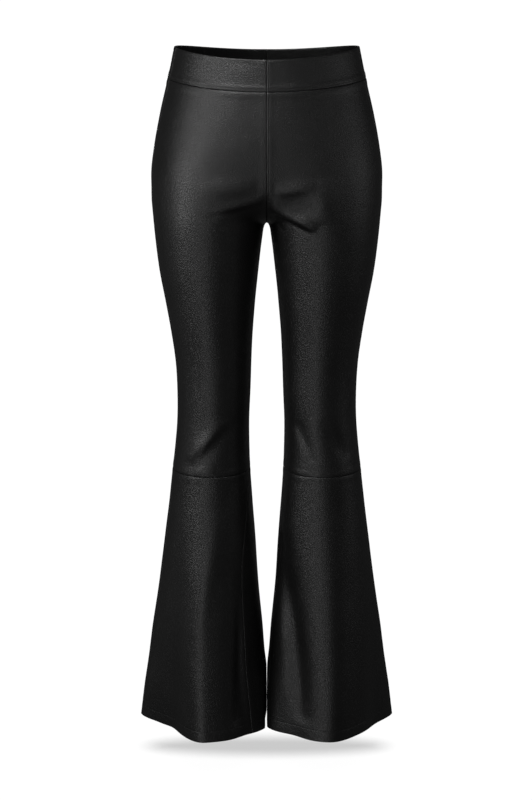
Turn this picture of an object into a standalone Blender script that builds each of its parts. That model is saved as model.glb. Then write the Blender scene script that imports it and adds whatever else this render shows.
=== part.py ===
"""Leather flare trousers, high-waisted and pulled on, held open as when worn.

Metres, +Z up. The origin is the middle of the waist opening, level with the waistband's top at the
sides. The front faces -Y and the wearer's left is +X. Every panel is an open sheet cut from one
shared surface round the hips and legs, and is then thickened inwards.
"""

import math

import bmesh
import bpy
import numpy as np

MM = 0.001

# Levels below the waist opening.
WAIST_SEAM = -47 * MM
CROTCH = -266 * MM
KNEE_SEAM = -653.5 * MM
HEM = -1071.6 * MM

# Leather and seams. Folds fade out over FOLD_CLEARANCE before a long seam.
LEG_WALL = 1.5 * MM
BAND_WALL = 2.6 * MM
SEAM_GAP = 0.3 * MM
SEAM_STRIP = 2.5 * MM
SEAM_DIP = 0.5 * MM
CROTCH_POINT_GAP = 0.25 * MM
CROTCH_POINT = 4 * MM
SADDLE_FADE = 15 * MM
SMALLEST_BLEND = 1e-6
TINY = 1e-9
ROUND_FRONT = 0.2
FOLD_CLEARANCE = 14 * MM
NARROWEST_FOLD = 13 * MM
FOLD_END = 0.12
FOLD_BLUNTNESS = 0.8

# The waistband's edges sit lower at the centre front and centre back than at the sides.
FRONT_DROP = 11 * MM
BACK_DROP = 13 * MM
DROP_ENDS = -220 * MM

# The flares' flutes grow by this power of the height below the knee seam. The flares brush
# together below this clearance, on a slightly wavy line.
FLUTE_GROWTH = 1.4
FLARE_CLEARANCE = 1 * MM
FLARE_EASE = 1 * MM
FLARE_WAVE = 2 * MM
FLARE_WAVE_LENGTH = 24 * MM

# Panel grids.
FRONT_LEG_COLUMNS = 21
BACK_LEG_COLUMNS = 17
BAND_COLUMNS = 11
FLARE_COLUMNS = 19
BAND_ROWS = 2
HIP_ROWS = 5
CROTCH_ROWS = 7
CROTCH_RISE = 84 * MM
GUSSET_ROWS = 4
GUSSET_DROP = 44 * MM
THIGH_ROWS = 10
FLARE_ROWS = 9
ANGLE_SAMPLES = 361
HALVINGS = 34
NORMAL_STEP = 0.5 * MM
LARGEST_REACH = 0.4
SHARP_ANGLE = 50

# Millimetres. leg_x and half place one leg's oval and give its half-width; front and back are its
# depths; centre_front and centre_back are the depths on the middle plane, which end at the crotch.
# power shapes the oval's outer quarters: 2 is round, and less is more pointed at the outseam. The
# front and back stay rounded there by ROUND_FRONT.
SECTIONS = """
level   leg_x  half   front  back  centre_front centre_back power
0       0      138.5  97     95    97     95     2
-47     12     136.6  99.5   101   100    102    2
-100    35     126    102    110   103.5  112    2
-150    58     112.6  103    121   105    121    2
-190    72     103.2  102    127   102.5  120    2
-210    77.5   97.6   101    127.5 98     110    2
-230    82     93     99.5   126   85     94     2
-250    86.5   87     98     122   60     65     2
-266    87.8   84.4   96.5   117   0      0      2
-294    88.7   81     93     106   0      0      2
-340    88.6   75.6   87     94    0      0      2
-387    86.7   69     81     84    0      0      2
-435    84.6   63     75     76    0      0      2
-482    82.6   58.8   70     70    0      0      2
-530    82.2   56.9   67     66    0      0      2
-579    83.7   56.3   65     63    0      0      2
-611    85     57.7   64.5   62.5  0      0      2
-653.5  86.7   60.7   66     63    0      0      2
-710    88     65.9   70     67    0      0      1.94
-776    90     72.6   77     74    0      0      1.81
-843    92.5   79     85     82    0      0      1.65
-910    94.5   87.4   94     91    0      0      1.5
-979    96     95.2   103    100   0      0      1.37
-1013   95.7   100.9  107.5  105   0      0      1.31
-1071.6 95     109.2  115    112   0      0      1.24
"""

# Where the outseams and each leg's inseam run, in degrees forward of the side, seen from above.
SEAM_TURNS = """
level   outseam inseam_left inseam_right
0       10      0           0
-190    10      0           0
-266    11      0           0
-300    12      5           5
-387    14      13          13
-530    15      13          15
-653.5  15      6           12
-710    14      11          31
-746    13      11          39
-791    12      9           46
-864    10      9           48
-910    8       11          48
-979    4       18          48
-1071.6 1.5     26          48
"""

# Soft hanging flutes of the flares: degrees forward of the side, height in mm at the hem.
FLUTES = """
side  angle width height
right 20    11    -4
right 45    23    -15
right 84    11    4
right 125   13    -6
left  26    19    -6
left  80    14    2
left  121   17    -11
right -38   17    -7
right -80   19    4.5
right -118  13    -5
left  -34   17    -5
left  -81   20    4
left  -112  12    -4
"""

# The largest folds, in mm on the front or back view: out from the middle, and up from the waist. A
# fold fades over its own width above the line, and over another one under it.
FOLDS = """
side  face  out1 up1   out2 up2   over under height
left  front 20   -204  66   -196  12   8     3.4
left  front 5    -228  66   -259  14   6     9
left  front 84   -190  84   -246  20   20    3.5
right front 24   -196  90   -197  12   13    3
right front 6    -218  68   -235  10   5     3.6
right front 70   -569  116  -625  11   7     3.4
right front 54   -572  104  -636  7    10    -1.2
right front 82   -641  108  -645  10   10    1.6
left  front 48   -572  70   -628  9    6     -2.4
left  front 88   -568  120  -622  11   11    -2
right front 30   -775  46   -1040 9    16    -5
right front 76   -720  108  -900  14   14    2
left  front 20   -765  54   -1035 18   11    -8
left  back  26   -238  98   -284  13   13    -5
left  back  28   -214  106  -256  13   13    4.5
right back  24   -242  92   -290  13   13    -5
right back  30   -218  98   -262  13   13    4
left  back  50   -566  112  -580  12   12    -4
left  back  58   -604  118  -614  12   12    -4.5
right back  46   -560  114  -572  12   12    -4.5
right back  56   -598  120  -612  12   12    -4
"""


def rows_of(table):
    """The table's rows, each a dictionary from column name to number or word."""
    lines = [line.split() for line in table.strip().splitlines()]
    names = lines[0]
    rows = []
    for words in lines[1:]:
        values = [word if word.isalpha() else float(word) for word in words]
        rows.append(dict(zip(names, values)))
    return rows


def smooth_curve(knots, values, at):
    """A cubic curve through the knots, which rise, read at each place in at."""
    slopes = np.gradient(values, knots)
    index = np.clip(np.searchsorted(knots, at) - 1, 0, len(knots) - 2)
    span = knots[index + 1] - knots[index]
    t = np.clip((at - knots[index]) / span, 0, 1)
    start = values[index] * (1 + 2 * t) * (1 - t) ** 2
    end = values[index + 1] * t * t * (3 - 2 * t)
    lean = slopes[index] * t * (1 - t) ** 2 + slopes[index + 1] * t * t * (t - 1)
    return start + end + lean * span


def columns_at(table, level):
    """Every column of a table of levels, read at these levels, in the table's own units."""
    rows = rows_of(table)[::-1]
    knots = np.array([row["level"] for row in rows])
    found = {}
    for name in rows[0]:
        values = np.array([row[name] for row in rows])
        if name.startswith("centre"):
            # The crotch curve rounds like a circle, so its square is what changes evenly.
            squared = smooth_curve(knots, values**2, level / MM)
            found[name] = np.sqrt(np.maximum(squared, 0))
        else:
            found[name] = smooth_curve(knots, values, level / MM)
    return found


def smooth_step(value):
    value = np.clip(value, 0, 1)
    return value * value * (3 - 2 * value)


def section_at(level):
    """The section's sizes in metres at each level, with the blend that joins the two legs."""
    section = columns_at(SECTIONS, level)
    for name in section:
        if name not in ("level", "power"):
            section[name] = section[name] * MM
    spread = section["leg_x"] / section["half"]
    parted = np.exp(-np.maximum(CROTCH - level, 0) / SADDLE_FADE)
    for face in ("front", "back"):
        neck = section["centre_" + face] / section[face]
        joined = 4 * (np.sqrt(neck**2 + spread**2) - 1)
        section["blend_" + face] = np.maximum(joined * parted, SMALLEST_BLEND)
    section["outside"] = section["leg_x"] + section["half"]
    return section


def leg_oval(x, y, section):
    """Below 0 inside one leg's oval, above 0 outside it."""
    across = np.abs(x - section["leg_x"]) / section["half"]
    along = np.abs(y) / np.where(y < 0, section["front"], section["back"])
    power = np.where(x > section["leg_x"], section["power"], 2)
    ease = ROUND_FRONT * (2 - power)
    across = (np.hypot(across, ease) - ease) / (np.hypot(1, ease) - ease)
    return (across**power + along**power) ** (1 / power) - 1


def both_legs(x, y, section):
    """Below 0 inside the two legs' ovals and the smooth saddle between them."""
    near = leg_oval(x, y, section)
    far = leg_oval(-x, y, section)
    blend = np.where(y < 0, section["blend_front"], section["blend_back"])
    overlap = np.maximum(blend - np.abs(near - far), 0)
    return np.minimum(near, far) - overlap**2 / (4 * blend)


def flute_height(side, angle, level):
    """How far the flare's soft flutes stand out here; they grow from the knee to the hem."""
    grown = np.clip((KNEE_SEAM - level) / (KNEE_SEAM - HEM), 0, 1) ** FLUTE_GROWTH
    height = np.zeros(np.broadcast(angle, level).shape)
    for flute in rows_of(FLUTES):
        if flute["side"] == side:
            away = (np.degrees(angle) - flute["angle"] + 180) % 360 - 180
            height += flute["height"] * MM * np.exp(-((away / flute["width"]) ** 2)) * grown
    return height


def section_points(side, face, level):
    """Close-set points of one panel's section at each level, from its inner seam to its outseam."""
    level = level[:, None]
    section = section_at(level)
    turns = columns_at(SEAM_TURNS, level)
    forward = 1 if face == "front" else -1
    to_middle = np.pi / 2 + np.arctan2(section["leg_x"], section["centre_" + face])
    inseam = np.where(level < CROTCH, turns["inseam_" + side], 0)
    inner = to_middle - forward * np.radians(inseam)
    outer = forward * np.radians(turns["outseam"])
    share = np.linspace(0, 1, ANGLE_SAMPLES)
    angle = forward * (inner + (outer - inner) * share)
    low = np.zeros(angle.shape)
    high = np.full(angle.shape, LARGEST_REACH)
    for _ in range(HALVINGS):
        reach = (low + high) / 2
        x = section["leg_x"] + reach * np.cos(angle)
        inside = (both_legs(x, -reach * np.sin(angle), section) < 0) & (x >= 0)
        low = np.where(inside, reach, low)
        high = np.where(inside, high, reach)
    reach = (low + high) / 2 + flute_height(side, angle, level)
    x = section["leg_x"] + reach * np.cos(angle)
    y = -reach * np.sin(angle)
    return np.where(level < KNEE_SEAM, clear_of_other_leg(side, x, y), x), y


def clear_of_other_leg(side, x, y):
    """Flattens a flare where it would pass the wavy line on which the two flares brush."""
    wave = FLARE_WAVE * np.sin(y / FLARE_WAVE_LENGTH)
    line = FLARE_CLEARANCE / 2 + (wave if side == "left" else -wave)
    return line + ((x - line) + np.hypot(x - line, FLARE_EASE)) / 2


def panel_points(side, face, levels, columns):
    """The panel's grid of points, and each point's distance to the nearer of its two long seams."""
    x, y = section_points(side, face, levels)
    steps = np.hypot(np.diff(x, axis=1), np.diff(y, axis=1))
    run = np.concatenate([np.zeros((len(levels), 1)), np.cumsum(steps, axis=1)], axis=1)
    total = run[:, -1:]
    near_crotch = np.exp(-(((levels[:, None] - CROTCH) / CROTCH_POINT) ** 2))
    edge = SEAM_GAP / 2 + CROTCH_POINT_GAP * near_crotch
    strip = edge + SEAM_STRIP
    # Near the crotch a row starts nearer the leg's outside; only its inner columns follow that.
    rise = np.clip((levels[:, None] - CROTCH) / CROTCH_RISE, 0, 1)
    cut_off = section_at(levels[:, None])["centre_" + face] * (1 - rise) / total
    from_outseam = np.linspace(1, 0, columns)
    from_outseam = from_outseam + cut_off * (from_outseam - from_outseam**3)
    between = strip + (total - 2 * strip) * (1 - from_outseam)
    stations = np.concatenate([edge, between, total - edge], axis=1)
    points = np.empty((*stations.shape, 3))
    for i in range(len(levels)):
        points[i, :, 0] = np.interp(stations[i], run[i], x[i])
        points[i, :, 1] = np.interp(stations[i], run[i], y[i])
    points[:, :, 2] = levels[:, None]
    to_seam = np.minimum(stations, total - stations)
    return points, to_seam


def waist_drop(points):
    """Lowers the waist edges towards the centre front and back, fading out down the hips."""
    level = points[:, :, 2]
    across = np.clip(points[:, :, 0] / section_at(level)["outside"], 0, 1)
    drop = np.where(points[:, :, 1] < 0, FRONT_DROP, BACK_DROP) * (1 - across**2)
    fade = smooth_step((level - DROP_ENDS) / (WAIST_SEAM - DROP_ENDS))
    points[:, :, 2] = level - drop * fade


def fold_height(side, face, points, to_seam):
    """How far the folds lift or sink the leather at each point; long seams stay level."""
    height = np.zeros(to_seam.shape)
    for fold in rows_of(FOLDS):
        if (fold["side"], fold["face"]) != (side, face):
            continue
        start = np.array([fold["out1"], fold["up1"]]) * MM
        along = np.array([fold["out2"], fold["up2"]]) * MM - start
        away = points[:, :, [0, 2]] - start
        share = (away @ along) / (along @ along)
        off = away - np.clip(share, 0, 1)[:, :, None] * along
        distance = np.linalg.norm(off, axis=2) + TINY
        below = (off @ np.array([along[1], -along[0]])) / np.linalg.norm(along) / distance
        width = (fold["over"] + fold["under"] + (fold["under"] - fold["over"]) * below) / 2 * MM
        width = np.maximum(width, NARROWEST_FOLD)
        taper = np.sin(np.pi * np.clip(FOLD_END + (1 - 2 * FOLD_END) * share, 0, 1)) ** FOLD_BLUNTNESS
        height += fold["height"] * MM * taper * np.exp(-((distance / width) ** 2))
    return height * smooth_step(to_seam / FOLD_CLEARANCE)


def outward(points):
    """Unit normals of the body surface at these points, pointing out of the garment."""
    slopes = []
    for step in np.eye(3) * NORMAL_STEP:
        ahead, behind = points + step, points - step
        rise = both_legs(ahead[..., 0], ahead[..., 1], section_at(ahead[..., 2]))
        fall = both_legs(behind[..., 0], behind[..., 1], section_at(behind[..., 2]))
        slopes.append(rise - fall)
    normals = np.stack(slopes, axis=-1)
    return normals / np.linalg.norm(normals, axis=-1, keepdims=True)


def panel_grid(side, face, levels, columns):
    """A finished panel's outer points: folds raised, edges rolled in, and on its own side."""
    points, to_seam = panel_points(side, face, levels, columns)
    lift = fold_height(side, face, points, to_seam)
    lift[:, [0, -1]] -= SEAM_DIP
    lift[[0, -1], 1:-1] -= SEAM_DIP
    lifted = points + lift[:, :, None] * outward(points)
    waist_drop(lifted)
    if side == "right":
        lifted[:, :, 0] *= -1
    return lifted


def seamed_levels(*inner):
    """Levels from a top seam to a bottom seam, with a narrow strip inside each."""
    levels = np.concatenate(inner)
    top, bottom = levels[0] - SEAM_GAP / 2, levels[-1] + SEAM_GAP / 2
    strips = ([top, top - SEAM_STRIP], levels[1:-1], [bottom + SEAM_STRIP, bottom])
    return np.concatenate(strips)


def leg_levels():
    """Levels of a leg panel, closest together at the crotch, where its surface lies level."""
    above = np.linspace(1, 0, CROTCH_ROWS, endpoint=False) ** 2 * CROTCH_RISE
    below = np.linspace(0, 1, GUSSET_ROWS, endpoint=False)[1:] ** 2 * GUSSET_DROP
    hips = np.linspace(WAIST_SEAM, CROTCH + CROTCH_RISE, HIP_ROWS, endpoint=False)
    thigh = np.linspace(CROTCH - GUSSET_DROP, KNEE_SEAM, THIGH_ROWS)
    return seamed_levels(hips, CROTCH + above, [CROTCH], CROTCH - below, thigh)


def leather(name, colour, roughness):
    """A smooth-grained leather."""
    material = bpy.data.materials.new(name)
    material.use_nodes = True
    shader = material.node_tree.nodes["Principled BSDF"]
    shader.inputs["Base Color"].default_value = (*colour, 1)
    shader.inputs["Roughness"].default_value = roughness
    shader.inputs["Metallic"].default_value = 0
    material.diffuse_color = (*colour, 1)
    return material


def sheet(name, points, face, side, wall, material, collection):
    """One panel: the open sheet through its points, thickened inwards to the wall."""
    rows, columns = points.shape[:2]
    mesh = bpy.data.meshes.new(name)
    form = bmesh.new()
    corners = [[form.verts.new(point) for point in row] for row in points]
    turned = (face == "front") == (side == "left")
    for i in range(rows - 1):
        for j in range(columns - 1):
            ring = [corners[i][j], corners[i + 1][j], corners[i + 1][j + 1], corners[i][j + 1]]
            form.faces.new(ring if turned else ring[::-1])
    form.to_mesh(mesh)
    form.free()
    mesh.materials.append(material)
    mesh.shade_smooth()
    panel = bpy.data.objects.new(name, mesh)
    collection.objects.link(panel)
    solid = panel.modifiers.new("wall", "SOLIDIFY")
    solid.thickness = wall
    solid.offset = -1
    mesh.set_sharp_from_angle(angle=math.radians(SHARP_ANGLE))
    return panel


def main():
    for found in list(bpy.data.objects):
        bpy.data.objects.remove(found, do_unlink=True)
    trousers = bpy.data.collections.new("leather_flare_trousers")
    bpy.context.scene.collection.children.link(trousers)
    band_levels = seamed_levels(np.linspace(0, WAIST_SEAM, BAND_ROWS + 2))
    flare_levels = seamed_levels(np.linspace(KNEE_SEAM, HEM, FLARE_ROWS + 2))
    pieces = {
        "waistband": (band_levels, {"front": BAND_COLUMNS, "back": BAND_COLUMNS}),
        "leg": (leg_levels(), {"front": FRONT_LEG_COLUMNS, "back": BACK_LEG_COLUMNS}),
        "flare": (flare_levels, {"front": FLARE_COLUMNS, "back": FLARE_COLUMNS}),
    }
    tints = {"waistband": 0.012, "leg": 0.01, "flare": 0.011}
    for piece, (levels, columns) in pieces.items():
        wall = BAND_WALL if piece == "waistband" else LEG_WALL
        for face in ("front", "back"):
            for side in ("left", "right"):
                name = f"{piece}_{face}_{side}"
                tint = tints[piece]
                material = leather(f"{name}_leather", (tint, tint, tint * 0.95), 0.42)
                points = panel_grid(side, face, levels, columns[face])
                sheet(name, points, face, side, wall, material, trousers)


main()
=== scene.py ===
# %% [markdown]
# # Black leather flare trousers
#
# High-waisted, pull-on trousers in black nappa: a folded waistband, two slim legs and two flares
# sewn on at the knee, twelve panels in all. They keep the hollow shape of the wearer. Every panel
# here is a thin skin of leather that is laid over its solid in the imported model.

import bpy
import numpy as np
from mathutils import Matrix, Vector, noise


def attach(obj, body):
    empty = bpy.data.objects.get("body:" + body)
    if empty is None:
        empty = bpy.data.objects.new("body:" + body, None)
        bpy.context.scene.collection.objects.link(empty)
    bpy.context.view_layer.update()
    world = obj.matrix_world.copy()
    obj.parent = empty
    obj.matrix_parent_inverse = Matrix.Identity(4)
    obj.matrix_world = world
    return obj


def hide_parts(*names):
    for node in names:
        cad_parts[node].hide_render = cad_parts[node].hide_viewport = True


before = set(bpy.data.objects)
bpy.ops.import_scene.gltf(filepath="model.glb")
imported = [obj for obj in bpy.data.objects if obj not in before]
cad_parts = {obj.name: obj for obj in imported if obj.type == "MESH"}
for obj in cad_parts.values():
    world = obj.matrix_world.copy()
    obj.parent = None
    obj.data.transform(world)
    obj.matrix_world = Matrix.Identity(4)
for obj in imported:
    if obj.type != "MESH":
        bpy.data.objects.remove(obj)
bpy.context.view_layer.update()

# %% [markdown]
# ## Sizes
#
# The trousers are worked out from a few levels below the waist opening and a table of sections.
# Each section is one oval for each leg. Above the crotch the two ovals are blended into one shape.
# The same numbers made the solids, so the leather lies close on them. The tables are in
# millimetres and degrees, and Blender works in metres. Left and right are the wearer's.

# %% Levels, leather and seams
MM = 0.001
WAIST_SEAM = -47 * MM
HIP_LEVEL = -190 * MM
CROTCH = -266 * MM
KNEE_SEAM = -653.5 * MM
HEM = -1071.6 * MM
FRONT_DROP = 11 * MM  # how far the waist's edges dip at the centre front
BACK_DROP = 13 * MM  # and at the centre back
DROP_ENDS = -220 * MM  # where the dip has faded out

LEATHER = 0.8 * MM  # thickness of the leather
BAND_WALL = 2.6 * MM  # from the outer face of the folded waistband to its inner face
FOLD_RADIUS = 1.15 * MM  # of the leather where it turns under at a seam
ALLOWANCE = 9 * MM
HEM_TURN = 17 * MM
EDGE_STITCH = 3 * MM  # from the centre seams
BAND_STITCH = 3.8 * MM  # above the waist seam
print("Length over all:", round(-HEM / MM), "mm, inseam", round((CROTCH - HEM) / MM), "mm")

# %% The sections, and where the long seams run
SECTIONS = """
level   leg_x  half   front  back  centre_front centre_back power
0       0      138.5  97     95    97     95     2
-47     12     136.6  99.5   101   100    102    2
-100    35     126    102    110   103.5  112    2
-150    58     112.6  103    121   105    121    2
-190    72     103.2  102    127   102.5  120    2
-210    77.5   97.6   101    127.5 98     110    2
-230    82     93     99.5   126   85     94     2
-250    86.5   87     98     122   60     65     2
-266    87.8   84.4   96.5   117   0      0      2
-294    88.7   81     93     106   0      0      2
-340    88.6   75.6   87     94    0      0      2
-387    86.7   69     81     84    0      0      2
-435    84.6   63     75     76    0      0      2
-482    82.6   58.8   70     70    0      0      2
-530    82.2   56.9   67     66    0      0      2
-579    83.7   56.3   65     63    0      0      2
-611    85     57.7   64.5   62.5  0      0      2
-653.5  86.7   60.7   66     63    0      0      2
-710    88     65.9   70     67    0      0      1.94
-776    90     72.6   77     74    0      0      1.81
-843    92.5   79     85     82    0      0      1.65
-910    94.5   87.4   94     91    0      0      1.5
-979    96     95.2   103    100   0      0      1.37
-1013   95.7   100.9  107.5  105   0      0      1.31
-1071.6 95     109.2  115    112   0      0      1.24
"""
SEAM_TURNS = """
level   outseam inseam_left inseam_right
0       10      0           0
-190    10      0           0
-266    11      0           0
-300    12      5           5
-387    14      13          13
-530    15      13          15
-653.5  15      6           12
-710    14      11          31
-746    13      11          39
-791    12      9           46
-864    10      9           48
-910    8       11          48
-979    4       18          48
-1071.6 1.5     26          48
"""

# %% Read a table
def rows_of(table):
    """The table's rows, each a dictionary from column name to number or word."""
    lines = [line.split() for line in table.strip().splitlines()]
    rows = []
    for words in lines[1:]:
        values = [word if word[0].isalpha() else float(word) for word in words]
        rows.append(dict(zip(lines[0], values)))
    return rows


def smooth_curve(knots, values, at):
    """A cubic curve through the knots, which rise, read at each place in at."""
    slopes = np.gradient(values, knots)
    index = np.clip(np.searchsorted(knots, at) - 1, 0, len(knots) - 2)
    span = knots[index + 1] - knots[index]
    t = np.clip((at - knots[index]) / span, 0, 1)
    start = values[index] * (1 + 2 * t) * (1 - t) ** 2
    end = values[index + 1] * t * t * (3 - 2 * t)
    lean = slopes[index] * t * (1 - t) ** 2 + slopes[index + 1] * t * t * (t - 1)
    return start + end + lean * span


def columns_at(table, level):
    """Every column of a table of levels, read at these levels, in the table's own units."""
    rows = rows_of(table)[::-1]
    knots = np.array([row["level"] for row in rows])
    found = {}
    for name in rows[0]:
        values = np.array([row[name] for row in rows])
        if name.startswith("centre"):
            squared = smooth_curve(knots, values**2, level / MM)
            found[name] = np.sqrt(np.maximum(squared, 0))
        else:
            found[name] = smooth_curve(knots, values, level / MM)
    return found


def smooth_step(value):
    """A smooth rise from 0 at 0 to 1 at 1."""
    value = np.clip(value, 0, 1)
    return value * value * (3 - 2 * value)


print("Sections:", len(rows_of(SECTIONS)), "from the waist to the hem")

# %% [markdown]
# ## The shape of the body inside
#
# The real trousers are pulled smooth by the hips and thighs. That shape could be sculpted, but a
# formula is easier to keep true: a number below 0 says that a point is inside the legs, and above 0
# that it is outside. A smooth minimum of the two legs' ovals rounds the crotch between them.

# %% Inside or outside the legs
SADDLE_FADE = 15 * MM  # below the crotch the blend falls to about a third over this height
SMALLEST_BLEND = 1e-6  # not 0, because it is a divisor
POINT_ROUNDING = 0.2  # keeps the front and back round where the flares' outer sides are pointed


def section_at(level):
    """The section's sizes in metres at each level, with the blend that joins the two legs."""
    section = columns_at(SECTIONS, level)
    for name in section:
        if name not in ("level", "power"):
            section[name] = section[name] * MM
    spread = section["leg_x"] / section["half"]
    parted = np.exp(-np.maximum(CROTCH - level, 0) / SADDLE_FADE)
    for face in ("front", "back"):
        # On the centre line both ovals read the same, and a quarter of the blend comes off there.
        neck = section["centre_" + face] / section[face]
        joined = 4 * (np.sqrt(neck**2 + spread**2) - 1)
        section["blend_" + face] = np.maximum(joined * parted, SMALLEST_BLEND)
    section["outside"] = section["leg_x"] + section["half"]
    return section


def leg_oval(x, y, section):
    """Below 0 inside one leg's oval, above 0 outside it; a power below 2 points its outer side."""
    across = np.abs(x - section["leg_x"]) / section["half"]
    along = np.abs(y) / np.where(y < 0, section["front"], section["back"])
    power = np.where(x > section["leg_x"], section["power"], 2)
    ease = POINT_ROUNDING * (2 - power)
    across = (np.hypot(across, ease) - ease) / (np.hypot(1, ease) - ease)
    return (across**power + along**power) ** (1 / power) - 1


def both_legs(x, y, section):
    """Below 0 inside the two legs' ovals and the smooth saddle between them."""
    near = leg_oval(x, y, section)
    far = leg_oval(-x, y, section)
    blend = np.where(y < 0, section["blend_front"], section["blend_back"])
    overlap = np.maximum(blend - np.abs(near - far), 0)
    return np.minimum(near, far) - overlap**2 / (4 * blend)


print("Middle of the hips:", round(float(both_legs(0.0, 0.0, section_at(HIP_LEVEL))), 2))

# %% [markdown]
# ## Flutes
#
# Below the knee the leather hangs free and swings into a few soft flutes. They are added to the
# ovals as gentle waves that grow from the knee down to the hem. The two flares lean on each other
# between the calves, so each is pressed flat along a line that wanders a little.

# %% The hanging flutes of the flares
FLUTES = """
side  angle width height
right 20    11    -4
right 45    23    -15
right 84    11    4
right 125   13    -6
left  26    19    -6
left  80    14    2
left  121   17    -11
right -38   17    -7
right -80   19    4.5
right -118  13    -5
left  -34   17    -5
left  -81   20    4
left  -112  12    -4
"""
FLUTE_GROWTH = 1.4  # above 1, so the flutes grow slowly under the knee
FLARE_CLEARANCE = 1 * MM
FLARE_EASE = 1 * MM
FLARE_WAVE = 2 * MM
FLARE_WAVE_LENGTH = 24 * MM


def flute_height(side, angle, level):
    """How far the flare's soft flutes stand out here; they grow from the knee to the hem."""
    grown = np.clip((KNEE_SEAM - level) / (KNEE_SEAM - HEM), 0, 1) ** FLUTE_GROWTH
    height = np.zeros(np.broadcast(angle, level).shape)
    for flute in rows_of(FLUTES):
        if flute["side"] == side:
            away = (np.degrees(angle) - flute["angle"] + 180) % 360 - 180
            height += flute["height"] * MM * np.exp(-((away / flute["width"]) ** 2)) * grown
    return height


def clear_of_other_leg(side, x, y):
    """Flattens a flare where it would pass the wavy line on which the two flares brush."""
    wave = FLARE_WAVE * np.sin(y / FLARE_WAVE_LENGTH)
    line = FLARE_CLEARANCE / 2 + (wave if side == "left" else -wave)
    return line + ((x - line) + np.hypot(x - line, FLARE_EASE)) / 2


print("Flutes:", len(rows_of(FLUTES)))

# %% [markdown]
# ## Panels on the body
#
# A panel is a grid: its rows are levels, and its columns are distances from the inner seam, measured
# along the leather with a tape as a cutter would. To find the surface, rays go out from the middle
# of the leg, and each one's end is closed in on by halving.

# %% Find the outer surface between two long seams
ANGLE_SAMPLES = 361
HALVINGS = 34
LARGEST_REACH = 0.4
NORMAL_STEP = 0.5 * MM


def seam_to_seam(side, face, levels):
    """x, y and distance from the inner seam of close-set points across a panel, row by row."""
    level = levels[:, None]
    section = section_at(level)
    turns = columns_at(SEAM_TURNS, level)
    forward = 1 if face == "front" else -1
    to_middle = np.pi / 2 + np.arctan2(section["leg_x"], section["centre_" + face])
    inseam = np.where(level < CROTCH, turns["inseam_" + side], 0)
    inner = to_middle - forward * np.radians(inseam)
    outer = forward * np.radians(turns["outseam"])
    angle = forward * (inner + (outer - inner) * np.linspace(0, 1, ANGLE_SAMPLES))
    low = np.zeros(angle.shape)
    high = np.full(angle.shape, LARGEST_REACH)
    for _ in range(HALVINGS):
        reach = (low + high) / 2
        x = section["leg_x"] + reach * np.cos(angle)
        inside = (both_legs(x, -reach * np.sin(angle), section) < 0) & (x >= 0)
        low = np.where(inside, reach, low)
        high = np.where(inside, high, reach)
    reach = (low + high) / 2 + flute_height(side, angle, level)
    x = section["leg_x"] + reach * np.cos(angle)
    y = -reach * np.sin(angle)
    x = np.where(level < KNEE_SEAM, clear_of_other_leg(side, x, y), x)
    steps = np.hypot(np.diff(x, axis=1), np.diff(y, axis=1))
    run = np.concatenate([np.zeros((len(levels), 1)), np.cumsum(steps, axis=1)], axis=1)
    return x, y, run


def outward(points):
    """Unit normals of the body surface at these points, pointing out of the garment."""
    slopes = []
    for step in np.eye(3) * NORMAL_STEP:
        ahead, behind = points + step, points - step
        rise = both_legs(ahead[..., 0], ahead[..., 1], section_at(ahead[..., 2]))
        fall = both_legs(behind[..., 0], behind[..., 1], section_at(behind[..., 2]))
        slopes.append(rise - fall)
    normals = np.stack(slopes, axis=-1)
    return normals / np.linalg.norm(normals, axis=-1, keepdims=True)


def waist_drop(points):
    """Lowers the waist edges towards the centre front and back, fading out down the hips."""
    level = points[..., 2]
    across = np.clip(points[..., 0] / section_at(level)["outside"], 0, 1)
    drop = np.where(points[..., 1] < 0, FRONT_DROP, BACK_DROP) * (1 - across**2)
    points[..., 2] = level - drop * smooth_step((level - DROP_ENDS) / (WAIST_SEAM - DROP_ENDS))


hips = [seam_to_seam("left", face, np.array([HIP_LEVEL]))[2][0, -1] for face in ("front", "back")]
print("Hips round the leather:", round(2 * sum(hips) / MM), "mm")

# %% [markdown]
# ## Folds and creases
#
# Leather keeps soft memories of how it was pulled: rays of folds from the crotch, and slanting
# creases in front of the knees. Each is a short line on the front or back view with a width and a
# height. The large ones are in the solids too. The fine ones are sharper and only on the leather.

# %% The large folds, as in the solids
FOLDS = """
side  face  out1 up1   out2 up2   over under height
left  front 20   -204  66   -196  12   8     3.4
left  front 5    -228  66   -259  14   6     9
left  front 84   -190  84   -246  20   20    3.5
right front 24   -196  90   -197  12   13    3
right front 6    -218  68   -235  10   5     3.6
right front 70   -569  116  -625  11   7     3.4
right front 54   -572  104  -636  7    10    -1.2
right front 82   -641  108  -645  10   10    1.6
left  front 48   -572  70   -628  9    6     -2.4
left  front 88   -568  120  -622  11   11    -2
right front 30   -775  46   -1040 9    16    -5
right front 76   -720  108  -900  14   14    2
left  front 20   -765  54   -1035 18   11    -8
left  back  26   -238  98   -284  13   13    -5
left  back  28   -214  106  -256  13   13    4.5
right back  24   -242  92   -290  13   13    -5
right back  30   -218  98   -262  13   13    4
left  back  50   -566  112  -580  12   12    -4
left  back  58   -604  118  -614  12   12    -4.5
right back  46   -560  114  -572  12   12    -4.5
right back  56   -598  120  -612  12   12    -4
"""
print("Large folds:", len(rows_of(FOLDS)))

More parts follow.
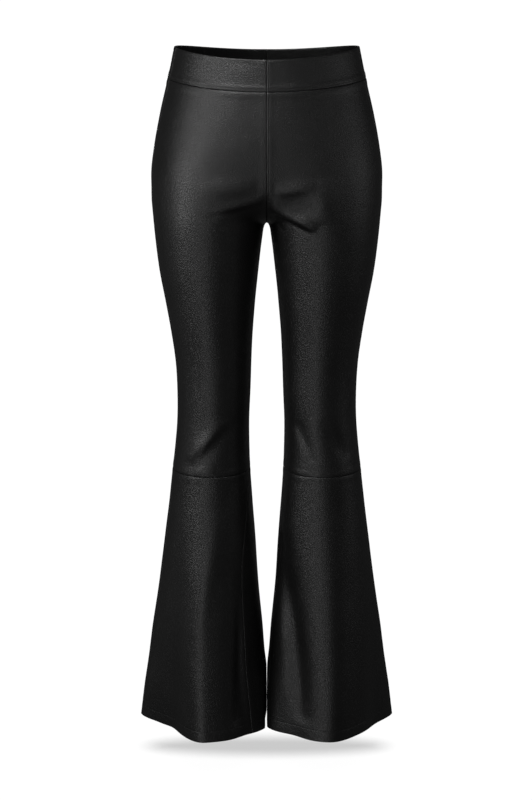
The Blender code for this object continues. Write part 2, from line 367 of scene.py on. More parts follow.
# %% The fine creases
CREASES = """
side  face  out1 up1   out2 up2   over under height
left  front 28   -233  62   -252  4    3.5   1.3
left  front 4    -233  62   -265  4    4     -1.6
left  front 8    -246  22   -268  3.5  3.5   -1.4
left  front 14   -248  24   -258  3.5  3.5   0.8
right front 8    -225  88   -242  4    4     -1.4
right front 84   -586  104  -616  5    5     0.8
left  front 58   -584  72   -622  5    5     0.5
right front 20   -8    60   -4    5    7     -0.5
left  back  10   -240  60   -268  6    6     -1.4
right back  12   -236  64   -262  6    6     -1.3
left  back  60   -574  104  -584  5    5     -1.2
left  back  52   -590  100  -596  6    6     1
right back  58   -570  108  -580  5    5     -1.1
right back  50   -586  104  -592  6    6     0.9
"""
FOLD_END = 0.12  # share of a half wave at a fold's ends; it dies out a little beyond them
FOLD_FULLNESS = 0.8  # below 1, so that a fold keeps its height for longer
NOT_ZERO = 1e-9


def fold_height(table, side, face, points, to_seam, ease):
    """How far the folds lift or sink the leather; they fade out within ease of a long seam."""
    height = np.zeros(to_seam.shape)
    for fold in rows_of(table):
        if (fold["side"], fold["face"]) != (side, face):
            continue
        start = np.array([fold["out1"], fold["up1"]]) * MM
        along = np.array([fold["out2"], fold["up2"]]) * MM - start
        away = points[..., [0, 2]] - start
        share = (away @ along) / (along @ along)
        off = away - np.clip(share, 0, 1)[..., None] * along
        distance = np.linalg.norm(off, axis=-1) + NOT_ZERO
        below = (off @ np.array([along[1], -along[0]])) / np.linalg.norm(along) / distance
        width = (fold["over"] + fold["under"] + (fold["under"] - fold["over"]) * below) / 2 * MM
        wave = np.clip(FOLD_END + (1 - 2 * FOLD_END) * share, 0, 1)
        taper = np.sin(np.pi * wave) ** FOLD_FULLNESS
        height += fold["height"] * MM * taper * np.exp(-((distance / width) ** 2))
    return height * smooth_step(to_seam / ease)


print("Fine creases:", len(rows_of(CREASES)))

# %% [markdown]
# ## What a seam does to the leather
#
# Each seam allowance is pressed open and glued down inside, so the leather stands a little prouder
# over it. It dips into the seam itself, and it puckers a little along the stitches. A row of
# stitching sinks a shallow groove. These are tenths of a millimetre, but glossy leather shows them.

# %% Relief along the seams
LONG_PAD = 0.2 * MM
WAIST_PAD = 0.6 * MM
KNEE_PAD = 0.25 * MM
PAD_EDGE = 3 * MM
LONG_PULL = 0.12 * MM
CROSS_PULL = 0.3 * MM
PULL_WIDTH = 2.2 * MM
PUCKER = 0.05 * MM
PUCKER_LENGTH = 13 * MM
PUCKER_REACH = 10 * MM
SLOW_WANDER = 31 * MM  # two lengths that don't fit each other keep the puckers uneven
QUICK_WANDER = 12.3 * MM
GROOVE = 0.2 * MM
GROOVE_WIDTH = 0.8 * MM
WELT = 0.01 * MM


def seam_relief(away, along, pad, pull):
    """The rise over an allowance, the dip at the seam and the puckers, by distance from the seam."""
    rise = pad * (1 - smooth_step((away - ALLOWANCE + PAD_EDGE) / (2 * PAD_EDGE)))
    dip = pull * np.exp(-((away / PULL_WIDTH) ** 2))
    wander = 2 * np.sin(along / SLOW_WANDER) + np.sin(along / QUICK_WANDER)
    waves = PUCKER * np.sin(2 * np.pi * along / PUCKER_LENGTH + wander)
    return rise - dip + waves * np.exp(-((away / PUCKER_REACH) ** 2))


def stitch_groove(away, row):
    """The groove under a row of stitches, and the small welt between it and the seam."""
    groove = GROOVE * np.exp(-(((away - row) / GROOVE_WIDTH) ** 2))
    welt = WELT * np.exp(-(((away - row / 2) / GROOVE_WIDTH) ** 2))
    return welt - groove


print("Waist seam: dip", CROSS_PULL / MM, "mm, rise", WAIST_PAD / MM, "mm")

# %% The unevenness of a hide
UNEVENNESS = 0.35 * MM
UNEVEN_SIZE = 55 * MM
HIDE_SEEDS = {("front", "left"): 1, ("front", "right"): 2, ("back", "left"): 6, ("back", "right"): 7}
SEED_SHIFT = (7.3, 3.1)  # takes each panel's waves from another part of the hide


def unevenness(points, seed):
    """Very low, slow waves, because no hide lies perfectly smooth."""
    flat = points.reshape(-1, 3) / UNEVEN_SIZE
    shift = Vector((seed * SEED_SHIFT[0], seed * SEED_SHIFT[1], 0))
    values = [noise.noise(Vector(point) + shift) for point in flat]
    return UNEVENNESS * np.array(values).reshape(points.shape[:-1])


print("Hide waves:", UNEVENNESS / MM, "by", UNEVEN_SIZE / MM, "mm")

# %% [markdown]
# ## From grid to leather
#
# The edges of every panel roll inwards and turn back under it, as a real allowance does, so that the
# seams are true grooves between two rounded edges. Each edge is a short list of steps: a distance
# from the seam and a depth below the surface. The skin is one sheet with a Solidify modifier for the
# thickness, which keeps the grid easy to shape.

# %% Steps of a turned edge
EDGE_STEPS = np.array([1.3, 1.9, 2.5, 3, 3.5, 4.1, 5.2, 6.8, 9, 11.5]) * MM
ROLL_TURNS = np.radians([180, 150, 120, 90, 60, 30, 0])


def turned_edge(turn_back, steps=EDGE_STEPS):
    """Distances from the seam and depths, from the hidden raw edge round the fold to the face."""
    rolled = FOLD_RADIUS * (1 - np.sin(ROLL_TURNS))
    depth = FOLD_RADIUS * (1 - np.cos(ROLL_TURNS))
    away = np.concatenate([turn_back, rolled, steps])
    depths = np.concatenate([np.full(len(turn_back), 2 * FOLD_RADIUS), depth, np.zeros(len(steps))])
    return away, depths


SEAM_EDGE = turned_edge(np.array([ALLOWANCE, ALLOWANCE / 2]))
print("Steps in a turned edge:", len(SEAM_EDGE[0]))

# %% Columns across a panel
CROTCH_RISE = 84 * MM  # the columns are eased over this height above the crotch


def column_stations(total, levels, face, middle_columns, edge):
    """How far from the inner seam each column lies, and how deep under the surface."""
    away, depths = edge
    strip = away[-1]
    # Just above the crotch the columns crowd to the inner seam, where the leather turns under.
    rise = np.clip((levels[:, None] - CROTCH) / CROTCH_RISE, 0, 1)
    cut_off = section_at(levels[:, None])["centre_" + face] * (1 - rise) / total
    from_outseam = np.linspace(1, 0, middle_columns + 2)[1:-1]
    from_outseam = from_outseam + cut_off * (from_outseam - from_outseam**3)
    middle = strip + (total - 2 * strip) * (1 - from_outseam)
    inner = np.broadcast_to(away, (len(levels), len(away)))
    outer = total - inner[:, ::-1]
    stations = np.concatenate([inner, middle, outer], axis=1)
    depth = np.concatenate([depths, np.zeros(middle_columns), depths[::-1]])
    return stations, depth


print("Columns crowd over", CROTCH_RISE / MM, "mm")

# %% Relief of a panel's face
FOLD_EASE = 14 * MM  # an ease is the distance over which a relief fades out
CREASE_EASE = 6 * MM
UNEVEN_EASE = 20 * MM
GROOVE_EASE = 6 * MM
KEEL = 1.1 * MM  # above the crotch the leather stands out along the centre seams
KEEL_REACH = 24 * MM
KEEL_EASE = 60 * MM


def leather_relief(side, face, piece, points, stations, total):
    """How far the face of the leather stands off the smooth body; the seed shifts the puckers."""
    level = points[..., 2]
    to_inner, to_outer = stations, total - stations
    to_seam = np.minimum(to_inner, to_outer)
    seed = HIDE_SEEDS[face, side]
    lift = fold_height(FOLDS, side, face, points, to_seam, FOLD_EASE)
    lift += fold_height(CREASES, side, face, points, to_seam, CREASE_EASE)
    lift += unevenness(points, seed) * smooth_step(to_seam / UNEVEN_EASE)
    lift += seam_relief(to_inner, level, LONG_PAD, LONG_PULL)
    lift += seam_relief(to_outer, level + seed, LONG_PAD, LONG_PULL)
    lift += KEEL * np.exp(-to_inner / KEEL_REACH) * smooth_step((level - CROTCH) / KEEL_EASE)
    if side == "left":
        lift += stitch_groove(to_inner, EDGE_STITCH) * smooth_step((level - CROTCH) / GROOVE_EASE)
    if piece == "waistband":
        lift += seam_relief(level - WAIST_SEAM, stations, WAIST_PAD, CROSS_PULL)
        lift += stitch_groove(level - WAIST_SEAM, BAND_STITCH)
    if piece == "leg":
        lift += seam_relief(WAIST_SEAM - level, stations, WAIST_PAD, CROSS_PULL)
        lift += seam_relief(level - KNEE_SEAM, stations + seed * MM, KNEE_PAD, CROSS_PULL)
    if piece == "flare":
        lift += seam_relief(KNEE_SEAM - level, stations + seed * MM, KNEE_PAD, CROSS_PULL)
        lift += stitch_groove(level - HEM, HEM_TURN)
    return lift


print("The centre seams stand out by", KEEL / MM, "mm")

# %% Shape a panel's outer face
def place_panel(side, face, piece, levels, stations, depth):
    """Points on the finished face at these stations, less the depth, and their normals."""
    x, y, run = seam_to_seam(side, face, levels)
    points = np.empty((*stations.shape, 3))
    for i in range(len(levels)):
        points[i, :, 0] = np.interp(stations[i], run[i], x[i])
        points[i, :, 1] = np.interp(stations[i], run[i], y[i])
    points[..., 2] = levels[:, None]
    lift = leather_relief(side, face, piece, points, stations, run[:, -1:])
    normals = outward(points)
    points = points + (lift - depth)[..., None] * normals
    waist_drop(points)
    if side == "right":
        points[..., 0] *= -1
        normals[..., 0] *= -1
    return points, normals


zero = np.zeros((1, 1))
hip_point = place_panel("left", "front", "leg", np.array([HIP_LEVEL]), zero, zero)[0][0, 0]
print("Centre front at the hips:", hip_point.round(4), "m")

# %% Make a mesh from a grid
def new_piece(name, verts, faces):
    """A smooth-shaded mesh object in the scene."""
    mesh = bpy.data.meshes.new(name)
    mesh.from_pydata(verts, [], faces)
    mesh.shade_smooth()
    piece = bpy.data.objects.new(name, mesh)
    bpy.context.scene.collection.objects.link(piece)
    return piece


def lay_leather(piece, face, side, points):
    """A grid of points as a smooth sheet, thickened inwards to the leather's thickness."""
    rows, columns = points.shape[:2]
    corner = np.arange(rows * columns).reshape(rows, columns)
    ring = [corner[:-1, :-1], corner[1:, :-1], corner[1:, 1:], corner[:-1, 1:]]
    turned = (face == "front") == (side == "left")
    faces = np.stack(ring if turned else ring[::-1], axis=-1).reshape(-1, 4)
    name = f"{piece}_{face}_{side}_leather"
    panel = new_piece(name, points.reshape(-1, 3).tolist(), faces.tolist())
    wall = panel.modifiers.new("leather", "SOLIDIFY")
    wall.thickness = LEATHER
    wall.offset = -1
    wall.material_offset = 1
    return panel


def make_panel(piece, face, side, levels, row_depth, middle_columns):
    """One leg or flare panel."""
    total = seam_to_seam(side, face, levels)[2][:, -1:]
    stations, column_depth = column_stations(total, levels, face, middle_columns, SEAM_EDGE)
    depth = row_depth[:, None] + column_depth
    points = place_panel(side, face, piece, levels, stations, depth)[0]
    return lay_leather(piece, face, side, points)


print("Leather:", LEATHER / MM, "mm thick")

# %% [markdown]
# ## Legs
#
# The leg panels run from the waist seam to the knee seam, pulled smooth over the hips. A cloth
# simulation could drape them, but then no fold would stay where it is wanted. Their rows are
# closest together at the crotch, where the leather turns under.

# %% Rows of a leg, from raw edge to raw edge
HIP_ROWS = 42
CROTCH_ROWS = 36
GUSSET_ROWS = 18
GUSSET_DROP = 44 * MM
THIGH_ROWS = 104
LEG_COLUMNS = 52


def leg_rows():
    """Levels and depths of a leg panel's rows."""
    away, depths = SEAM_EDGE
    top, bottom = WAIST_SEAM - away[-1], KNEE_SEAM + away[-1]
    hips = np.linspace(top, CROTCH + CROTCH_RISE, HIP_ROWS + 1)[1:-1]
    above = CROTCH + np.linspace(1, 0, CROTCH_ROWS, endpoint=False) ** 2 * CROTCH_RISE
    below = CROTCH - np.linspace(0, 1, GUSSET_ROWS, endpoint=False) ** 2 * GUSSET_DROP
    thigh = np.linspace(CROTCH - GUSSET_DROP, bottom, THIGH_ROWS)[:-1]
    inner = np.concatenate([hips, above, below, thigh])
    levels = np.concatenate([WAIST_SEAM - away, inner, KNEE_SEAM + away[::-1]])
    depth = np.concatenate([depths, np.zeros(len(inner)), depths[::-1]])
    return levels, depth


SIDES = list(HIDE_SEEDS)
panels = {}
for face, side in SIDES:
    panels["leg", face, side] = make_panel("leg", face, side, *leg_rows(), LEG_COLUMNS)
print("Leg panels:", [panel.name for panel in panels.values()])

# %% [markdown]
# ## Flares
#
# The flares are sewn on at the knee and hang free. The hem is turned up once inside and held by one
# row of stitching, so the leather is double below the stitches. It could be a strip of its own, but
# the steps that turn an edge under at a seam make a hem too.

# %% Rows of a flare, from the knee to the raw edge inside the hem
HEM_STEPS = np.array([1.6, 3, 5, 8, 11, 13.5, 15.2, 16.1, 16.6, 17, 17.4, 17.9, 18.8, 20.5, 23]) * MM
HEM_EDGE = turned_edge(np.array([19, 15, 10, 5]) * MM, HEM_STEPS)
FLARE_ROWS = 112
FLARE_COLUMNS = 46


def flare_rows():
    """Levels and depths of a flare's rows."""
    away, depths = SEAM_EDGE
    up, hem_depths = HEM_EDGE
    inner = np.linspace(KNEE_SEAM - away[-1], HEM + up[-1], FLARE_ROWS + 1)[1:-1]
    levels = np.concatenate([KNEE_SEAM - away, inner, HEM + up[::-1]])
    depth = np.concatenate([depths, np.zeros(len(inner)), hem_depths[::-1]])
    return levels, depth


for face, side in SIDES:
    panels["flare", face, side] = make_panel("flare", face, side, *flare_rows(), FLARE_COLUMNS)
print("Panels with the flares:", len(panels))

# %% [markdown]
# ## Waistband
#
# The waistband is one strip folded double at its top edge. Its outer layer turns under at the waist
# seam, and its inner layer hangs just below it and covers the raw edges. It is made as one long
# sheet that goes up the inside, over the fold and down the outside.

# %% Rows of the waistband, up the inside and down the outside
BAND_INNER_LEVELS = -np.linspace(52, 4, 17) * MM
BAND_TOP_TURNS = np.radians(np.linspace(180, 0, 9))
BAND_FACE_STEPS = np.linspace(4, 38, 18) * MM
BAND_GROOVE_STEPS = np.array([40, 41.2, 42.2, 42.8, 43.2, 43.7, 44.4, 45.2]) * MM
BAND_TRIM = 1 * MM  # cut off its allowance, so that the raw edges make no ridge
BAND_COLUMNS = 44


def band_rows():
    """Levels and depths of the waistband's rows."""
    radius = BAND_WALL / 2
    fold_levels = -radius * (1 - np.sin(BAND_TOP_TURNS))
    fold_depths = radius * (1 - np.cos(BAND_TOP_TURNS))
    down = np.concatenate([BAND_FACE_STEPS, BAND_GROOVE_STEPS])
    away, depths = turned_edge(np.array([ALLOWANCE - BAND_TRIM, ALLOWANCE / 2]), np.array([]))
    levels = np.concatenate([BAND_INNER_LEVELS, fold_levels, -down, WAIST_SEAM + away[::-1]])
    inner = np.full(len(BAND_INNER_LEVELS), BAND_WALL)
    depth = np.concatenate([inner, fold_depths, np.zeros(len(down)), depths[::-1]])
    return levels, depth


def make_band(face, side):
    """A quarter of the waistband; both its layers roll in at the ends, a quarter turn each."""
    levels, row_depth = band_rows()
    total = seam_to_seam(side, face, levels)[2][:, -1:]
    quarter_roll = len(ROLL_TURNS) // 2
    end = [steps[quarter_roll:] for steps in turned_edge(np.array([]))]
    stations, column_depth = column_stations(total, levels, face, BAND_COLUMNS, end)
    inwards = 1 - 2 * np.clip(row_depth / BAND_WALL, 0, 1)
    depth = row_depth[:, None] + inwards[:, None] * column_depth
    points = place_panel(side, face, "waistband", levels, stations, depth)[0]
    return lay_leather("waistband", face, side, points)


for face, side in SIDES:
    panels["waistband", face, side] = make_band(face, side)
print("Panels with the waistband:", len(panels))

# %% [markdown]
# ## Stitching
#
# Four rows show: an edge stitch beside the centre front and centre back seams, one row along the
# waistband's lower edge, and one row that holds the hem. A stitch is a short length of thread that
# lies in its groove and dives into a hole at each end. It could be a curve with a bevel, but a
# small mesh of rings can be thick in the middle and sink at the ends. Each row is one mesh.

# %% One stitch
STITCH = 3 * MM
STITCH_GAP = 0.7 * MM
STITCH_AIM = 0.4  # share of a stitch, before and after its middle, that gives its direction
STITCH_SINK = 0.1 * MM
THREAD_RADIUS = 0.27 * MM
THREAD_SIDES = 6
THREAD_RINGS = rows_of("""
share width height
-0.5  0.35  -0.9
-0.42 0.85  -0.15
-0.2  1     0.25
0.2   1     0.25
0.42  0.85  -0.15
0.5   0.35  -0.9
""")


def read_line(values, run, at):
    """The point or normal at a distance along a line."""
    return np.array([np.interp(at, run, values[:, k]) for k in range(3)])


def stitch_points(points, normals, run, middle):
    """Rings of points round one stitch, whose middle is this far along the line."""
    centre = read_line(points, run, middle)
    before = read_line(points, run, middle - STITCH_AIM * STITCH)
    after = read_line(points, run, middle + STITCH_AIM * STITCH)
    along = (after - before) / np.linalg.norm(after - before)
    up = read_line(normals, run, middle)
    up = up - (up @ along) * along
    up = up / np.linalg.norm(up)
    across = np.cross(along, up)
    found = []
    for ring in THREAD_RINGS:
        place = centre + along * ring["share"] * STITCH
        place = place + up * (ring["height"] * THREAD_RADIUS - STITCH_SINK)
        for turn in np.linspace(0, 2 * np.pi, THREAD_SIDES, endpoint=False):
            offset = across * np.cos(turn) + up * np.sin(turn)
            found.append((place + offset * THREAD_RADIUS * ring["width"]).tolist())
    return found


def stitch_faces(first, points):
    """Faces round a stitch of this many points, with both ends closed, from its first vertex on."""
    faces = []
    for ring in range(first, first + points - THREAD_SIDES, THREAD_SIDES):
        for j in range(THREAD_SIDES):
            k = (j + 1) % THREAD_SIDES
            faces.append([ring + j, ring + k, ring + THREAD_SIDES + k, ring + THREAD_SIDES + j])
    last = first + points - THREAD_SIDES
    faces.append([first + j for j in range(THREAD_SIDES)][::-1])
    faces.append([last + j for j in range(THREAD_SIDES)])
    return faces


print("Stitch:", STITCH / MM, "mm, gap:", STITCH_GAP / MM, "mm")

# %% A row of stitches along a line
LINE_STEP = 1 * MM
LINE_END = 1.2 * MM  # a row round a panel stops this short of its long seams


def stitch_row(name, lines):
    """A mesh of stitches along each line of points, which come with normals."""
    verts, faces = [], []
    for points, normals in lines:
        steps = np.linalg.norm(np.diff(points, axis=0), axis=1)
        run = np.concatenate([[0], np.cumsum(steps)])
        count = int(run[-1] // (STITCH + STITCH_GAP))
        pitch = run[-1] / count
        for i in range(count):
            stitch = stitch_points(points, normals, run, (i + 0.5) * pitch)
            faces += stitch_faces(len(verts), len(stitch))
            verts += stitch
    return new_piece(name, verts, faces)


def line_on(side, face, piece, levels, stations):
    """Points and normals along a row or a column on a panel's face."""
    points, normals = place_panel(side, face, piece, levels, stations, np.zeros(stations.shape))
    return points.reshape(-1, 3), normals.reshape(-1, 3)


def line_down(face, piece, levels):
    """The line of the edge stitch down a left panel."""
    return line_on("left", face, piece, levels, np.full((len(levels), 1), EDGE_STITCH))


def line_round(side, face, piece, level):
    """The line across a panel at one level."""
    levels = np.array([level])
    total = seam_to_seam(side, face, levels)[2][0, -1]
    stations = np.arange(LINE_END, total - LINE_END, LINE_STEP)[None, :]
    return line_on(side, face, piece, levels, stations)


# %% Stitch the rows
BAND_ROW_TOP = -3 * MM
SEAM_CLEAR = 1.5 * MM  # between the edge stitch and the waist seam, above and below it
CROTCH_CLEAR = 2 * MM
BODY_LINE_STEP = 0.5 * MM

stitching = []
for face in ("front", "back"):
    band_levels = np.arange(BAND_ROW_TOP, WAIST_SEAM + SEAM_CLEAR, -LINE_STEP)
    body_levels = np.arange(WAIST_SEAM - SEAM_CLEAR, CROTCH + CROTCH_CLEAR, -BODY_LINE_STEP)
    lines = [line_down(face, "waistband", band_levels), line_down(face, "leg", body_levels)]
    stitching.append(stitch_row(f"centre_{face}_stitching", lines))
for face, side in SIDES:
    waist_line = line_round(side, face, "waistband", WAIST_SEAM + BAND_STITCH)
    stitching.append(stitch_row(f"waistband_{face}_{side}_stitching", [waist_line]))
    hem_line = line_round(side, face, "flare", HEM + HEM_TURN)
    stitching.append(stitch_row(f"hem_{face}_{side}_stitching", [hem_line]))
print("Rows:", len(stitching), "with", sum(len(row.data.vertices) for row in stitching), "vertices")

# %% [markdown]
# ## Materials
#
# Three finishes show: the hair side of the leather, its flesh side and the thread. All three could
# be plain colours, but real ones are dyed unevenly and have a grain. So each gets a texture that
# drives a colour and a bump in Blender's Principled shader.

# %% Colours and nodes
def linear(hex_colour):
    """An sRGB hex colour as the linear colour that shaders use."""
    values = [int(hex_colour[i : i + 2], 16) / 255 for i in (1, 3, 5)]
    return [v / 12.92 if v <= 0.04045 else ((v + 0.055) / 1.055) ** 2.4 for v in values] + [1]


def add_node(tree, kind, settings=None, links=None):
    """Adds a node, sets its attributes and sockets, and links other nodes' sockets into it."""
    node = tree.nodes.new(kind)
    for name, value in (settings or {}).items():
        if isinstance(name, int) or name in node.inputs:
            node.inputs[name].default_value = value
        else:
            setattr(node, name, value)
    for name, source in (links or {}).items():
        tree.links.new(source, node.inputs[name])
    return node


def start_material(name):
    """A new material and its shader."""
    material = bpy.data.materials.new(name)
    material.use_nodes = True
    return material, material.node_tree.nodes["Principled BSDF"]


def dye_and_emboss(tree, shader, tones, patches, relief, grain):
    """Fades the colour from one tone to another by one texture, and bumps it by another."""
    tone = add_node(tree, "ShaderNodeValToRGB", None, {"Fac": patches})
    for stop, hex_colour in zip(tone.color_ramp.elements, tones):
        stop.color = linear(hex_colour)
    bump = add_node(tree, "ShaderNodeBump", relief, {"Height": grain})
    tree.links.new(tone.outputs["Color"], shader.inputs["Base Color"])
    tree.links.new(bump.outputs["Normal"], shader.inputs["Normal"])


print("Linear black:", [round(value, 4) for value in linear("#121212")])

# %% [markdown]
# ## Black nappa
#
# Nappa is full-grain lambskin, drum-dyed black and sprayed with a thin semi-gloss finish. To the eye
# the finish gives broad soft lights, and the pebbles and pores of the grain break them into a faint
# sparkle. A flat black would look like plastic, so the tone and the gloss drift a little over the
# hide. The grain could be modelled, but a bump gives the same sparkle without millions of faces.

# %% Black nappa, the hair side
PEBBLE = 1.3 * MM  # real ones are about half as wide: too fine to show, so they are drawn coarser
PORE = 0.7 * MM  # drawn coarser too, to go with the pebbles
PORE_SHARE = 0.5
HIDE_PATCH = 60 * MM


def black_nappa():
    """Semi-gloss black: broad soft lights with a faint sparkle."""
    material, shader = start_material("black_nappa_semi_gloss")
    tree = material.node_tree
    place = add_node(tree, "ShaderNodeTexCoord").outputs["Object"]
    drift = {"Scale": 1 / HIDE_PATCH, "Detail": 4.0}
    patches = add_node(tree, "ShaderNodeTexNoise", drift, {"Vector": place}).outputs["Fac"]
    round_cells = {"Scale": 1 / PEBBLE, "feature": "SMOOTH_F1"}
    pebbles = add_node(tree, "ShaderNodeTexVoronoi", round_cells, {"Vector": place})
    specks = {"Scale": 1 / PORE, "Detail": 3.0}
    pores = add_node(tree, "ShaderNodeTexNoise", specks, {"Vector": place})
    both = {0: pores.outputs["Fac"], 2: pebbles.outputs["Distance"]}
    grain = add_node(tree, "ShaderNodeMath", {"operation": "MULTIPLY_ADD", 1: PORE_SHARE}, both)
    relief = {"Strength": 0.8, "Distance": 0.5 * MM}
    dye_and_emboss(tree, shader, ("#0a0a0a", "#121212"), patches, relief, grain.outputs[0])
    gloss = add_node(tree, "ShaderNodeMapRange", {"To Min": 0.32, "To Max": 0.4}, {"Value": patches})
    shader.inputs["IOR"].default_value = 1.5
    shader.inputs["Specular IOR Level"].default_value = 0.5
    tree.links.new(gloss.outputs["Result"], shader.inputs["Roughness"])
    return material


print("Pebbles:", PEBBLE / MM, "mm, pores:", PORE / MM, "mm")

# %% [markdown]
# ## Black suede
#
# The flesh side of the hide shows inside the waist and the hems. It is dyed through and has a short
# nap of fibres that scatter the light, so it is matt to the eye and a little warmer than the face.
# Hairs could be grown on it, but this deep inside a fine bump looks the same.

# %% Black suede, the flesh side
NAP = 1.5 * MM  # single fibres are far too fine to show, so the nap is drawn as tufts


def black_suede():
    """Matt black nap, with no shine."""
    material, shader = start_material("black_suede_flesh_side")
    tree = material.node_tree
    place = add_node(tree, "ShaderNodeTexCoord").outputs["Object"]
    tufts = {"Scale": 1 / NAP, "Detail": 5.0}
    fibres = add_node(tree, "ShaderNodeTexNoise", tufts, {"Vector": place}).outputs["Fac"]
    relief = {"Strength": 0.5, "Distance": 0.3 * MM}
    dye_and_emboss(tree, shader, ("#0c0c0c", "#1b1a19"), fibres, relief, fibres)
    shader.inputs["Roughness"].default_value = 0.95
    shader.inputs["Specular IOR Level"].default_value = 0.2
    return material


print("Nap:", NAP / MM, "mm")

# %% [markdown]
# ## Black thread
#
# Leather is sewn with bonded polyester thread, twisted from several plies and dyed to match. To the
# eye it is smoother than cotton, with a dull glint on each stitch, so it is seen against the
# leather only as a fine line of dots.

# %% Black thread
TWIST = 0.5 * MM  # a coarser twist wouldn't fit so thin a thread, so it only dulls it


def black_thread():
    """Black with a dull glint."""
    material, shader = start_material("black_polyester_thread")
    tree = material.node_tree
    place = add_node(tree, "ShaderNodeTexCoord").outputs["Object"]
    plies = {"Scale": 1 / TWIST, "Detail": 2.0}
    twist = add_node(tree, "ShaderNodeTexNoise", plies, {"Vector": place}).outputs["Fac"]
    relief = {"Strength": 0.4, "Distance": 0.1 * MM}
    dye_and_emboss(tree, shader, ("#080808", "#121212"), twist, relief, twist)
    shader.inputs["Roughness"].default_value = 0.55
    return material


print("Thread:", 2 * THREAD_RADIUS / MM, "mm thick")

# %% Give each piece its finish
hair_side, flesh_side, thread = black_nappa(), black_suede(), black_thread()
for panel in panels.values():
    panel.data.materials.append(hair_side)
    panel.data.materials.append(flesh_side)
for row in stitching:
    row.data.materials.append(thread)
print("Materials:", hair_side.name, flesh_side.name, thread.name)

# %% [markdown]
# ## Tie the pieces to the frame
#
# Each skin stands for its solid and rides on the one body. The size its panel was cut to is printed:
# its widest and longest measure along the leather, with the allowances. A pattern could be drawn for
# each, but the sections already hold its sizes.

# %% The size each panel was cut to
PANEL_ENDS = {"waistband": (0, WAIST_SEAM), "leg": (WAIST_SEAM, KNEE_SEAM), "flare": (KNEE_SEAM, HEM)}
END_ALLOWANCES = {"leg": 2 * ALLOWANCE, "flare": ALLOWANCE + HEM_TURN}
END_FILL = 0.9  # the allowances at the ends are a tenth narrower than the panel's widest row
CUT_ROWS = 60
CUT_INSET = 0.1 * MM  # keeps the rows off the seams, where one panel ends and the next begins


def cut_of(piece, face, side):
    """Width, length and area of the flat panel, with its allowances, in metres."""
    top, bottom = PANEL_ENDS[piece]
    levels = np.linspace(top - CUT_INSET, bottom + CUT_INSET, CUT_ROWS)
    x, y, run = seam_to_seam(side, face, levels)
    drop = np.gradient(levels)[:, None]
    slope = np.hypot(np.gradient(x, axis=0), np.hypot(np.gradient(y, axis=0), drop))
    length = slope[:, ANGLE_SAMPLES // 3].sum()
    across = run[:, -1] + 2 * ALLOWANCE
    width = across.max()
    area = (slope.mean(axis=1) * across).sum()
    if piece == "waistband":
        # It is cut double. Its area leaves out the allowances along the two long edges.
        return width, 2 * (length + ALLOWANCE), 2 * area
    ends = END_ALLOWANCES[piece]
    return width, length + ends, area + END_FILL * width * ends


# %% Ride, replace and print the cut
for (piece, face, side), panel in panels.items():
    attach(panel, "root")
    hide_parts(f"{piece}_{face}_{side}")
    width, length, area = cut_of(piece, face, side)
    print(panel.name, "cut", round(width, 3), "x", round(length, 3), "m, area", round(area, 4))
for row in stitching:
    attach(row, "root")

# %% [markdown]
# ## Floor
#
# The trousers hang just above a plain white paper floor. The floor could be lit by the lamps that
# light the leather, but then each of them would throw its own shadow. So it has one lamp of its own
# overhead, and a net just inside the hems holds back part of that lamp: one soft, pale shadow.

# %% The floor
FLOOR_DROP = 56 * MM
FLOOR_SIZE = 60


def make_floor():
    """A wide plain floor that the leather doesn't mirror."""
    bpy.ops.mesh.primitive_plane_add(size=FLOOR_SIZE, location=(0, 0, HEM - FLOOR_DROP))
    floor = bpy.context.object
    floor.name = "floor"
    material, shader = start_material("white_paper_floor")
    shader.inputs["Base Color"].default_value = linear("#f3f3f3")
    shader.inputs["Roughness"].default_value = 1
    shader.inputs["Specular IOR Level"].default_value = 0
    floor.data.materials.append(material)
    floor.visible_glossy = False
    floor.visible_diffuse = False
    floor.visible_shadow = False
    return floor


floor = make_floor()
print("Floor at", round(floor.location.z, 3), "m")

# %% The net that shades the floor
NET_SIZE = (195 * MM, 36 * MM)
NET_RISE = 10 * MM
NET_PASSES = 0.6
NET_SIDES = 64


def make_net():
    """A flat oval net just inside the hems, hidden from the camera and from reflections."""
    place = (0, 0, HEM + NET_RISE)
    bpy.ops.mesh.primitive_circle_add(vertices=NET_SIDES, radius=1, fill_type="NGON", location=place)
    net = bpy.context.object
    net.name = "shadow_net"
    net.scale = (*NET_SIZE, 1)
    material = bpy.data.materials.new("black_net")
    material.use_nodes = True
    tree = material.node_tree
    tree.nodes.clear()
    clear = add_node(tree, "ShaderNodeBsdfTransparent", {"Color": [NET_PASSES] * 3 + [1]})
    add_node(tree, "ShaderNodeOutputMaterial", None, {"Surface": clear.outputs[0]})
    net.data.materials.append(material)
    net.visible_camera = False
    net.visible_diffuse = False
    net.visible_glossy = False
    return net


net = make_net()
print("Net:", [2 * half for half in NET_SIZE], "m")

# %% The floor's lamp
FLOOR_LIGHT = 3.4644
FLOOR_LAMP_SPREAD = 40


def collect(name, members):
    """A collection for light linking, which says who a lamp lights or who shades it."""
    group = bpy.data.collections.new(name)
    for member in members:
        group.objects.link(member)
    return group


def hang_overhead():
    """A wide sun that lights the floor alone and is shaded by the net alone."""
    sun = bpy.data.lights.new("overhead", "SUN")
    sun.energy = FLOOR_LIGHT
    sun.angle = np.radians(FLOOR_LAMP_SPREAD)
    overhead = bpy.data.objects.new("overhead", sun)
    overhead.light_linking.receiver_collection = collect("lit_from_overhead", [floor])
    overhead.light_linking.blocker_collection = collect("shades_the_floor", [net])
    bpy.context.scene.collection.objects.link(overhead)


hang_overhead()
print("Floor lamp:", FLOOR_LIGHT)

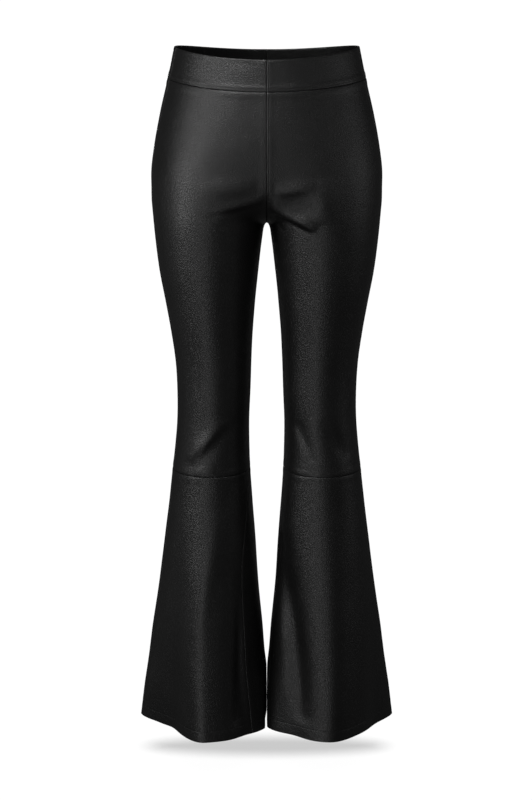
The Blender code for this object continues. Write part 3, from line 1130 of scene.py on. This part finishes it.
# %% [markdown]
# ## Softboxes
#
# Black leather shows little but what it reflects, so the lamps are what draws it. Large softboxes
# on the viewer's left give the long lights down the hip, the thighs and the flares, and small ones
# near the hips pick out the folds at the crotch. The right has one weak softbox far round and a
# small one for the hip, so it stays dark. One behind lights the back and stays below the waist's
# edge, so that it doesn't shine over the band.

# %% Hang the softboxes
# Each turn is in degrees from the front to the viewer's left, and the other sizes are in metres.
AIM_LEVELS = {"hips": -0.2, "knees": -0.6}
SOFTBOXES = """
name       turn height distance wide tall watts aim
left_key   58   0.2    3        0.8  1.4  18.5  knees
hip_key    57   -0.3   1.2      0.25 0.5  2     hips
left_fill  30   -0.2   3        0.9  0.9  3     knees
front_fill 8    -0.2   3        0.6  0.9  2     knees
high_left  22   0.65   0.9      0.5  0.4  10.5  hips
low_left   20   -1.7   3        0.5  0.9  8.5   knees
low_side   95   -0.9   3        0.5  0.7  1.3   knees
right      -84  -0.1   3        0.5  0.9  5     knees
hip_right  -48  -0.12  1.2      0.3  0.4  0.4   hips
behind     178  -0.3   3        0.9  0.55 20    knees
"""
garment = collect("lit_by_softboxes", [*panels.values(), *stitching])


def hang_softbox(box):
    """Hangs one softbox of the table round the trousers, to light them alone."""
    light = bpy.data.lights.new(box["name"], "AREA")
    light.shape = "RECTANGLE"
    light.size = box["wide"]
    light.size_y = box["tall"]
    light.energy = box["watts"]
    lamp = bpy.data.objects.new(box["name"], light)
    turn = np.radians(box["turn"])
    x, y = -box["distance"] * np.sin(turn), -box["distance"] * np.cos(turn)
    lamp.location = (x, y, box["height"])
    aim = Vector((0, 0, AIM_LEVELS[box["aim"]]))
    lamp.rotation_euler = (aim - lamp.location).to_track_quat("-Z", "Y").to_euler()
    lamp.visible_camera = False
    lamp.light_linking.receiver_collection = garment
    bpy.context.scene.collection.objects.link(lamp)


for box in rows_of(SOFTBOXES):
    hang_softbox(box)
print("Softboxes:", len(rows_of(SOFTBOXES)))

# %% [markdown]
# ## World and camera
#
# The background is plain white, but white light from all round would wash out the black. So the
# world is white only to the camera's rays, and very dim to all others. The camera stands well back,
# a little above the waist, with a long lens that keeps the legs nearly parallel.

# %% World
AMBIENT = 0.05
WHITE = linear("#ffffff")


def make_world():
    """White to the camera, dim to the leather and the floor."""
    world = bpy.data.worlds.new("studio")
    bpy.context.scene.world = world
    world.use_nodes = True
    tree = world.node_tree
    tree.nodes.clear()
    rays = add_node(tree, "ShaderNodeLightPath")
    seen = add_node(tree, "ShaderNodeBackground", {"Color": WHITE, "Strength": 1.0})
    dim = add_node(tree, "ShaderNodeBackground", {"Color": WHITE, "Strength": AMBIENT})
    backdrop = {0: rays.outputs["Is Camera Ray"], 1: dim.outputs[0], 2: seen.outputs[0]}
    mix = add_node(tree, "ShaderNodeMixShader", None, backdrop)
    add_node(tree, "ShaderNodeOutputWorld", None, {"Surface": mix.outputs[0]})


make_world()
print("Ambient light:", AMBIENT)

# %% Camera
CAMERA_PLACE = (-0.0012, -3.2, 0.2811)
CAMERA_PITCH = 14.5
LENS = 95.4


def make_camera():
    """A camera in front of the trousers that looks a little down."""
    data = bpy.data.cameras.new("camera")
    data.lens = LENS
    camera = bpy.data.objects.new("camera", data)
    camera.location = CAMERA_PLACE
    camera.rotation_euler = (np.radians(90 - CAMERA_PITCH), 0, 0)
    bpy.context.scene.collection.objects.link(camera)
    bpy.context.scene.camera = camera


make_camera()
bpy.context.scene.view_settings.view_transform = "Standard"
print("Camera at", CAMERA_PLACE, "m")
